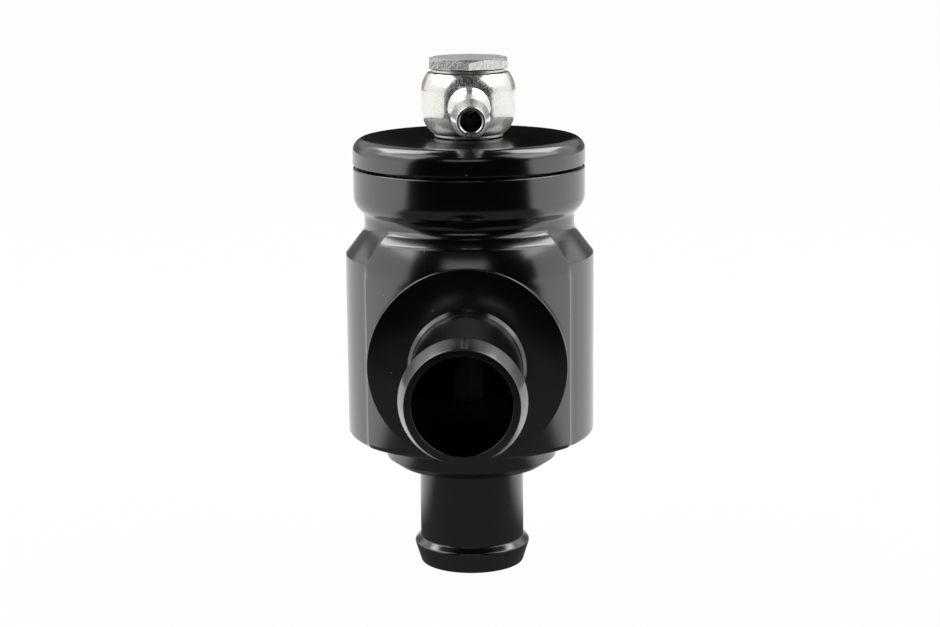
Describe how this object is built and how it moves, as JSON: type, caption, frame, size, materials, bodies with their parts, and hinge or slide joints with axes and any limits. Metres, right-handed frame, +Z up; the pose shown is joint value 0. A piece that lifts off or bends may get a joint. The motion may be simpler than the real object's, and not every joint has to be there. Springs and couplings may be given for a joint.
{
  "type": "blow off valve",
  "caption": "Round black blow off valve with hose barbs on its side and underside, a sprung piston inside, and a swivelling bright banjo hose nipple on its cap.",
  "frame": {"origin": "on the plane that the inlet barb's end face rests on, under the middle of the overall box", "axes": "+Z up along the valve's axis, the outlet barb and the hose nipple point towards -Y"},
  "size_m": [0.059, 0.0962, 0.1224],
  "materials": {
    "black_anodised": "black anodised, satin gloss",
    "piston_metal": "hard anodised, turned",
    "nickel_plate": "bright nickel plate",
    "washer_metal": "plain",
    "spring_steel": "drawn",
    "black_rubber": "matt",
    "guide_plastic": "plain"
  },
  "bodies": {
    "housing": {"valve_body": "black_anodised", "cap": "black_anodised", "inlet_fitting": "black_anodised", "outlet_fitting": "black_anodised", "banjo_bolt": "nickel_plate", "banjo_lower_washer": "washer_metal", "banjo_upper_washer": "washer_metal", "cap_o_ring": "black_rubber", "inlet_o_ring": "black_rubber", "outlet_seal": "black_rubber", "spring": "spring_steel", "spring_thrust_washer": "spring_steel"},
    "piston_group": {"piston": "piston_metal", "piston_guide_ring_upper": "guide_plastic", "piston_guide_ring_lower": "guide_plastic", "piston_seal": "black_rubber", "piston_face_seal": "black_rubber"},
    "banjo": {"banjo_fitting": "nickel_plate"}
  },
  "joints": [
    {"name": "piston_slide", "type": "slide", "parent": "housing", "child": "piston_group", "axis": [0, 0, 1], "range_m": [0, 0.01], "stiffness_N_per_m": 3000, "springref_m": -0.01, "deforming": ["spring"]},
    {"name": "banjo_swivel", "type": "hinge", "parent": "housing", "child": "banjo", "pos_m": [0, 0.01805, 0.1115], "axis": [0, 0, 1], "continuous": true}
  ]
}
